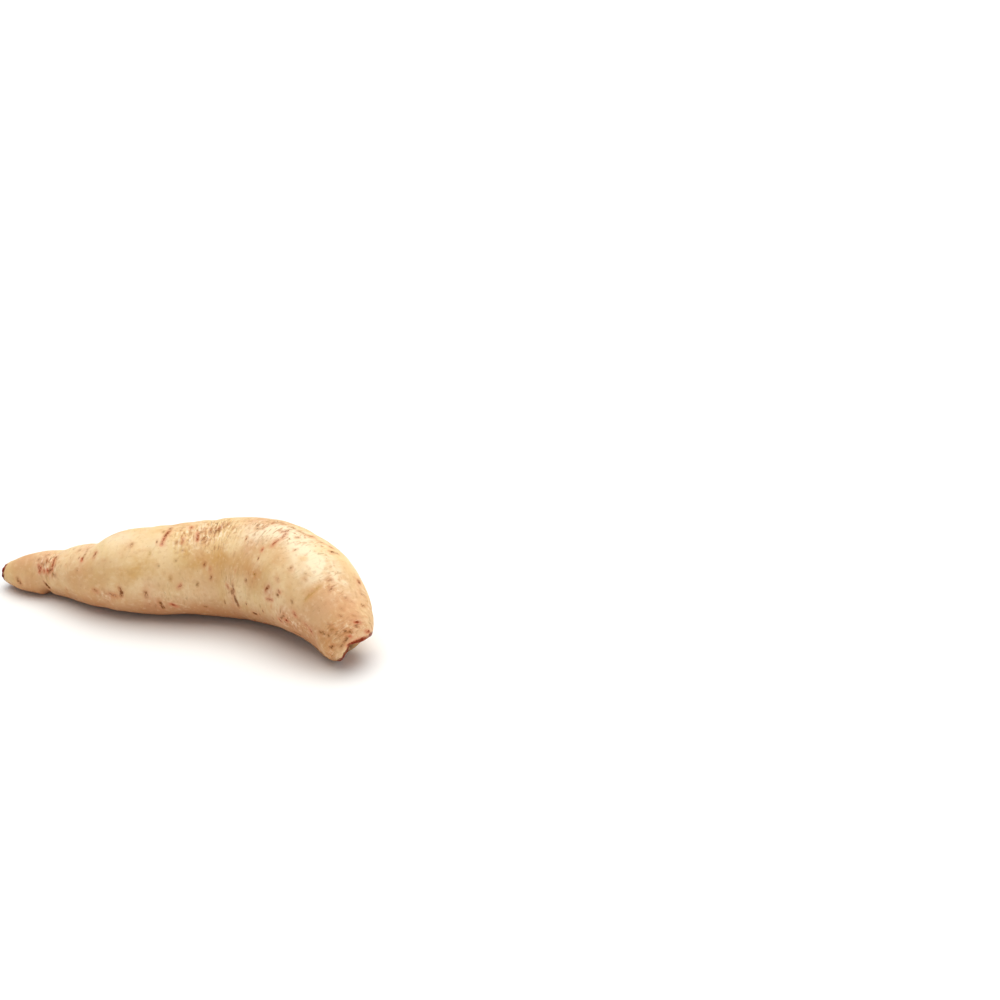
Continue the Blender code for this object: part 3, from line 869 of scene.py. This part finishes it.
def arracacha_skin():
    """Fresh arracacha skin, as grown and washed.

    It is thin, dull and a little translucent, cream to ochre with pink clouds, with brown corky scars,
    fine specks and cracks across it, and a corky broken crown. Its colour also holds painted shade, a
    deeper tan low down and dark brown underneath, and painted light: paler cream on the side away
    from the camera and where the highlight falls on the bend.
    """
    material = bpy.data.materials.new("arracacha_skin")
    material.use_nodes = True
    tree = material.node_tree
    shader = tree.nodes["Principled BSDF"]

    # What the surface carries: its unbent place in mm, its nearest mark, its patches and its ends.
    values = {}
    for attribute, names in (
        ("straight", ("along",)),
        ("outwards", ("sideways", "upwards")),
        ("mark", ("aside", "past", "distance")),
        ("mark_look", ("half width", "strength", "tone")),
        ("tint", ("pink patch", "ochre patch", "rough patch")),
        ("ends", ("beyond", "from middle", "scab share")),
    ):
        vector = add(tree, "ShaderNodeAttribute", {}, attribute_name=attribute)["Vector"]
        values[attribute] = vector
        values.update(zip(names, add(tree, "ShaderNodeSeparateXYZ", {0: vector})))

    # The same place for patterns that are this many times as long around the root as along it.
    for stretch in (2.2, 3.5, 6.0):
        inputs = {"Vector": values["straight"], "Scale": (1, 1 / stretch, 1 / stretch)}
        values[stretch] = add(tree, "ShaderNodeMapping", inputs)[0]

    # Noise, by its stretch, and the size in mm of what it draws.
    for name, place, size, detail in (
        ("clouds", "straight", 24.0, 2.0),
        ("pink clouds", 2.2, 15.0, 2.0),
        ("mottle", "straight", 5.0, 4.0),
        ("flecks", "straight", 1.8, 2.0),
        ("strokes", 3.5, 1.1, 1.0),
        ("crack lines", 6.0, 1.9, 1.0),
        ("crack places", "straight", 6.5, 2.0),
        ("edges", "straight", 0.9, 3.0),
        ("grain", "straight", 0.55, 3.0),
        ("flesh", "straight", 1.6, 4.0),
    ):
        inputs = {"Vector": values[place], "Scale": 1 / size, "Detail": detail}
        values[name] = add(tree, "ShaderNodeTexNoise", inputs)["Fac"]

    # Round cells for lenticels, a little wider around the root, and for finer specks.
    for name, place, size in (("lenticel", 2.2, 4.4), ("speck", "straight", 2.4)):
        cell = add(tree, "ShaderNodeTexVoronoi", {"Vector": values[place], "Scale": 1 / size})
        values[name + " distance"] = cell["Distance"]
        values[name + " draw"] = add(tree, "ShaderNodeSeparateColor", {0: cell["Color"]})[0]

    # Each row is one node: its result's name, its kind, and what goes in, by name or as a number.
    span = ("ShaderNodeMapRange", {"interpolation_type": "SMOOTHSTEP"})
    times = ("ShaderNodeMath", {"operation": "MULTIPLY"})
    plus = ("ShaderNodeMath", {"operation": "ADD"})
    minus = ("ShaderNodeMath", {"operation": "SUBTRACT"})
    over = ("ShaderNodeMath", {"operation": "DIVIDE"})
    absolute = ("ShaderNodeMath", {"operation": "ABSOLUTE"})
    for name, (kind, settings), *inputs in (
        # Clouds and mottling, then painted shade low down and underneath, and painted light on the far
        # side.
        ("cream clouds", span, "clouds", 0.34, 0.64, 0.0, 1.0),
        ("tan mottle", span, "mottle", 0.46, 0.72, 0.0, 0.5),
        ("pink haze", span, "pink clouds", 0.5, 0.7, 0.0, 0.4),
        ("yellow haze", span, "pink clouds", 0.47, 0.3, 0.0, 0.5),
        # Painted shade: the lower half is painted a deeper, redder tan, and darker brown still underneath.
        ("low side", span, "upwards", 0.0, -0.62, 0.0, 0.75),
        ("underside", span, "upwards", -0.62, -0.95, 0.0, 0.6),
        # Painted light: the side away from the camera is painted paler cream.
        ("far side", span, "sideways", -0.1, -0.6, 0.0, 0.4),
        ("mottled", span, "mottle", 0.3, 0.6, 0.5, 1.0),
        ("pink", times, "pink patch", "mottled"),
        ("pink", times, "pink", 0.65),
        ("ochre", times, "ochre patch", "mottled"),
        ("ochre", span, "ochre", 0.0, 1.0, 0.0, 0.65),
        ("cream", times, "ochre patch", "mottled"),
        ("cream", span, "cream", 0.0, -1.0, 0.0, 0.9),
        # Flecks and short strokes, strongest on the rough patches.
        ("flecked", plus, "rough patch", 0.25),
        ("pale flecks", span, "flecks", 0.54, 0.7, 0.0, 0.7),
        ("pale flecks", times, "pale flecks", "flecked"),
        ("tan flecks", span, "flecks", 0.45, 0.3, 0.0, 0.7),
        ("tan flecks", times, "tan flecks", "flecked"),
        ("dark strokes", span, "strokes", 0.56, 0.66, 0.0, 0.75),
        ("dark strokes", times, "dark strokes", "rough patch"),
        ("pale strokes", span, "strokes", 0.42, 0.34, 0.0, 0.6),
        ("pale strokes", times, "pale strokes", "rough patch"),
        # Short cracks across the root, thickest on the rough patches.
        ("off line", minus, "crack lines", 0.5),
        ("off line", absolute, "off line"),
        ("crack line", span, "off line", 0.005, 0.018, 1.0, 0.0),
        ("crack place", span, "crack places", 0.5, 0.58, 0.0, 1.0),
        ("crack share", plus, "rough patch", 0.12),
        ("cracks", times, "crack line", "crack place"),
        ("cracks", times, "cracks", "crack share"),
        # Lenticels with a pink ring around them, and specks: some of the cells are left empty.
        ("lenticel draw", span, "lenticel draw", 0.5, 0.9, 0.0, 1.0),
        ("lenticels", span, "lenticel distance", 0.05, 0.11, 0.85, 0.0),
        ("lenticels", times, "lenticels", "lenticel draw"),
        ("lenticel rings", span, "lenticel distance", 0.08, 0.26, 0.5, 0.0),
        ("lenticel rings", times, "lenticel rings", "lenticel draw"),
        ("speck draw", span, "speck draw", 0.55, 0.95, 0.0, 1.0),
        ("specks", span, "speck distance", 0.05, 0.13, 0.6, 0.0),
        ("specks", times, "specks", "speck draw"),
        # The marks: a dark core with uneven edges and breaks, a brown smear, and a pink haze.
        ("wander", span, "edges", 0.3, 0.7, -0.45, 0.45),
        ("aside", plus, "aside", "wander"),
        ("aside", absolute, "aside"),
        ("aside", over, "aside", "half width"),
        ("core", span, "aside", 0.7, 1.5, 1.0, 0.0),
        ("core end", span, "past", -0.2, 0.3, 1.0, 0.0),
        ("core", times, "core", "core end"),
        ("core near", span, "distance", 0.9, 1.5, 1.0, 0.0),
        ("core", times, "core", "core near"),
        ("core breaks", span, "flecks", 0.36, 0.52, 0.4, 1.0),
        ("core", times, "core", "core breaks"),
        ("core", times, "core", "strength"),
        ("smear", span, "distance", 0.4, 1.4, 0.8, 0.0),
        ("smear", times, "smear", "strength"),
        ("smear", times, "smear", "core breaks"),
        ("haze", span, "distance", 0.5, 2.6, 0.7, 0.0),
        ("haze", times, "haze", "strength"),
        ("haze tone", span, "tone", 0.3, 1.0, 0.3, 1.0),
        ("haze", times, "haze", "haze tone"),
        ("haze", times, "haze", "mottled"),
        ("brown", span, "tone", 0.0, 0.5, 0.0, 1.0),
        ("red", span, "tone", 0.5, 1.0, 0.0, 1.0),
        # The ends: the scab on the tail, the dark rim of the break, and the flesh inside the rim.
        ("ragged", span, "flesh", 0.25, 0.75, -0.9, 0.9),
        ("passed", plus, "beyond", "ragged"),
        ("broken", span, "passed", -0.1, 0.4, 0.0, 1.0),
        ("rim", span, "passed", -3.2, -1.6, 0.0, 1.0),
        ("rim end", span, "passed", 1.4, 5.5, 1.0, 0.0),
        ("rim", times, "rim", "rim end"),
        ("rim places", span, "crack places", 0.32, 0.5, 0.55, 1.0),
        ("rim", times, "rim", "rim places"),
        ("brown rim", span, "flesh", 0.5, 0.65, 0.0, 0.7),
        ("brown rim", times, "brown rim", "rim"),
        ("ring", minus, "from middle", 0.68),
        ("ring", absolute, "ring"),
        ("ring", span, "ring", 0.02, 0.09, 0.6, 0.0),
        ("ring", times, "ring", "broken"),
        ("dark flesh", span, "flesh", 0.4, 0.62, 0.0, 0.85),
        ("dark flesh", times, "dark flesh", "broken"),
        ("rough flesh", times, "flesh", "broken"),
        ("scab", times, "ragged", 0.12),
        ("scab", plus, "scab", "scab share"),
        ("scab", span, "scab", 0.3, 0.6, 0.0, 1.0),
        ("scab heart", span, "along", 0.25, 1.1, 0.85, 0.0),
        ("scab heart", times, "scab heart", "scab"),
        ("dark scab", span, "flesh", 0.48, 0.62, 0.0, 0.8),
        ("dark scab", times, "dark scab", "scab"),
        ("rough scab", times, "scab", "flesh"),
        # The shine.
        ("roughness", span, "mottle", 0.3, 0.7, 0.44, 0.54),
    ):
        sockets = {slot: values.get(value, value) for slot, value in enumerate(inputs)}
        values[name] = add(tree, kind, sockets, **settings)[0]

    # The layers of colour: each lies over the ones before it, where its value says.
    tones = {}
    for name, ochre, brown, red in (
        ("core", "#b5853a", "#6b3a14", "#8c2e10"),
        ("smear", "#c99a50", "#b27440", "#c8643c"),
    ):
        tone = {0: values["brown"], 6: linear(ochre), 7: linear(brown)}
        tone = {0: values["red"], 6: add(tree, "ShaderNodeMix", tone, data_type="RGBA")[2], 7: linear(red)}
        tones[name] = add(tree, "ShaderNodeMix", tone, data_type="RGBA")[2]
    colour = linear("#d7aa76")
    for name, over_it in (
        ("cream clouds", linear("#edce9e")),
        ("tan mottle", linear("#dcac74")),
        ("pink haze", linear("#dfae8a")),
        ("yellow haze", linear("#e4c488")),
        # Painted shade: a deeper tan low down, dark brown underneath.
        ("low side", linear("#b9794d")),
        ("underside", linear("#8d5834")),
        # Painted light: paler cream on the side away from the camera.
        ("far side", linear("#f2dba6")),
        ("pink", linear("#cd8a6e")),
        ("ochre", linear("#cc9648")),
        ("cream", linear("#f5e4c1")),
        ("pale flecks", linear("#f6e0b8")),
        ("tan flecks", linear("#b87d50")),
        ("pale strokes", linear("#f7e4c4")),
        ("dark strokes", linear("#a96a34")),
        ("cracks", linear("#8a5626")),
        ("specks", linear("#a8692f")),
        ("lenticel rings", linear("#d8966a")),
        ("lenticels", linear("#7c4518")),
        ("haze", linear("#dd9670")),
        ("smear", tones["smear"]),
        ("core", tones["core"]),
        ("scab", linear("#842013")),
        ("scab heart", linear("#7d5230")),
        ("dark scab", linear("#54190e")),
        ("broken", linear("#c99a63")),
        ("dark flesh", linear("#94623a")),
        ("ring", linear("#b5732f")),
        ("rim", linear("#7a220c")),
        ("brown rim", linear("#8f562c")),
    ):
        inputs = {0: values[name], 6: colour, 7: over_it}
        colour = add(tree, "ShaderNodeMix", inputs, data_type="RGBA")[2]
    tree.links.new(colour, shader.inputs["Base Color"])

    # Heights in mm, for the finest unevenness.
    height = 0.0
    for name, rise in (
        ("grain", 0.05),
        ("flecks", 0.06),
        ("mottle", 0.12),
        ("dark strokes", -0.05),
        ("cracks", -0.1),
        ("lenticels", 0.05),
        ("core", -0.08),
        ("rough flesh", 0.5),
        ("rough scab", 0.4),
    ):
        inputs = {0: values[name], 1: rise, 2: height}
        height = add(tree, "ShaderNodeMath", inputs, operation="MULTIPLY_ADD")[0]
    bump = add(tree, "ShaderNodeBump", {"Height": height, "Strength": 1.0, "Distance": METRES_PER_MM})
    tree.links.new(bump[0], shader.inputs["Normal"])

    roughness = values["roughness"]
    for name, over_it in (("core", 0.8), ("cracks", 0.7), ("broken", 0.85), ("scab", 0.75)):
        roughness = add(tree, "ShaderNodeMix", {0: values[name], 2: roughness, 3: over_it})[0]
    tree.links.new(roughness, shader.inputs["Roughness"])
    shader.inputs["IOR"].default_value = 1.45
    shader.inputs["Specular IOR Level"].default_value = 0.14
    shader.inputs["Subsurface Weight"].default_value = 0.08
    shader.inputs["Subsurface Radius"].default_value = (1.0, 0.45, 0.2)
    shader.inputs["Subsurface Scale"].default_value = METRES_PER_MM
    return material


def pale_floor():
    """Plain matte board, sprayed off-white: a flat soft surface that takes a faint shadow."""
    material = bpy.data.materials.new("matte_floor_board")
    material.use_nodes = True
    tree = material.node_tree
    place = add(tree, "ShaderNodeTexCoord", {})["Object"]
    inputs = {"Vector": place, "Scale": FLOOR_GRAINS_PER_MM / METRES_PER_MM, "Detail": 2.0}
    grain = add(tree, "ShaderNodeTexNoise", inputs)["Fac"]
    inputs = {"Height": grain, "Strength": FLOOR_GRAIN_STRENGTH, "Distance": METRES_PER_MM}
    bump = add(tree, "ShaderNodeBump", inputs)
    shader = tree.nodes["Principled BSDF"]
    shader.inputs["Base Color"].default_value = linear(FLOOR_COLOUR)
    shader.inputs["Roughness"].default_value = FLOOR_ROUGHNESS
    tree.links.new(bump[0], shader.inputs["Normal"])
    return material


def make_root():
    """The root's skin as one mesh, in the place of its solid."""
    points, numbers = root_skin()
    vertices = flat_list(points) * METRES_PER_MM
    mesh = bpy.data.meshes.new("arracacha_skin")
    mesh.from_pydata(vertices.tolist(), [], closed_faces(*points.shape[:2]))
    for name, grid in numbers.items():
        layer = mesh.attributes.new(name, "FLOAT_VECTOR", "POINT")
        layer.data.foreach_set("vector", flat_list(grid).astype(np.float32).ravel())
    mesh.shade_smooth()
    mesh.materials.append(arracacha_skin())
    piece = bpy.data.objects.new("arracacha_skin", mesh)
    bpy.context.scene.collection.objects.link(piece)
    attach(piece, "root")
    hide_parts(NODE)


def make_floor():
    """A level disc: a fan of points on a circle around its middle."""
    turn = np.linspace(0, 2 * math.pi, FLOOR_POINTS, endpoint=False)
    rim = np.stack([FLOOR_RADIUS * np.cos(turn), FLOOR_RADIUS * np.sin(turn), 0 * turn], axis=-1)
    here = np.arange(FLOOR_POINTS)
    fan = np.stack([np.full(FLOOR_POINTS, FLOOR_POINTS), here, (here + 1) % FLOOR_POINTS], axis=-1)
    mesh = bpy.data.meshes.new("floor")
    mesh.from_pydata([*rim.tolist(), (0, 0, 0)], [], fan.tolist())
    mesh.materials.append(pale_floor())
    floor = bpy.data.objects.new("floor", mesh)
    bpy.context.scene.collection.objects.link(floor)


def make_light(name, way, width, strength, tint):
    """A distant soft light: the way to it, how wide it looks in degrees, and its strength."""
    light = bpy.data.lights.new(name, "SUN")
    light.angle = math.radians(width)
    light.energy = strength
    light.color = linear(tint)[:3]
    lamp = bpy.data.objects.new(name, light)
    lamp.rotation_euler = Vector(way).to_track_quat("Z", "Y").to_euler()
    bpy.context.scene.collection.objects.link(lamp)


def make_sky():
    """An even pale sky all round, and the picture's exposure."""
    world = bpy.data.worlds.new("studio")
    world.use_nodes = True
    background = world.node_tree.nodes["Background"]
    background.inputs["Color"].default_value = linear(SKY_COLOUR)
    background.inputs["Strength"].default_value = SKY_STRENGTH
    bpy.context.scene.world = world
    bpy.context.scene.view_settings.view_transform = "Standard"
    bpy.context.scene.view_settings.exposure = EXPOSURE


def make_camera():
    """The photograph's view: a long lens in front of the root, looking down on it."""
    lens = bpy.data.cameras.new("camera")
    lens.lens = CAMERA_LENS
    lens.sensor_width = CAMERA_SENSOR
    camera = bpy.data.objects.new("camera", lens)
    camera.location = CAMERA_PLACE
    camera.rotation_euler = (math.radians(90 - CAMERA_DOWN), 0, 0)
    bpy.context.scene.collection.objects.link(camera)
    bpy.context.scene.camera = camera


make_camera()
make_root()
make_floor()
for soft_light in SOFT_LIGHTS:
    make_light(*soft_light)
make_sky()
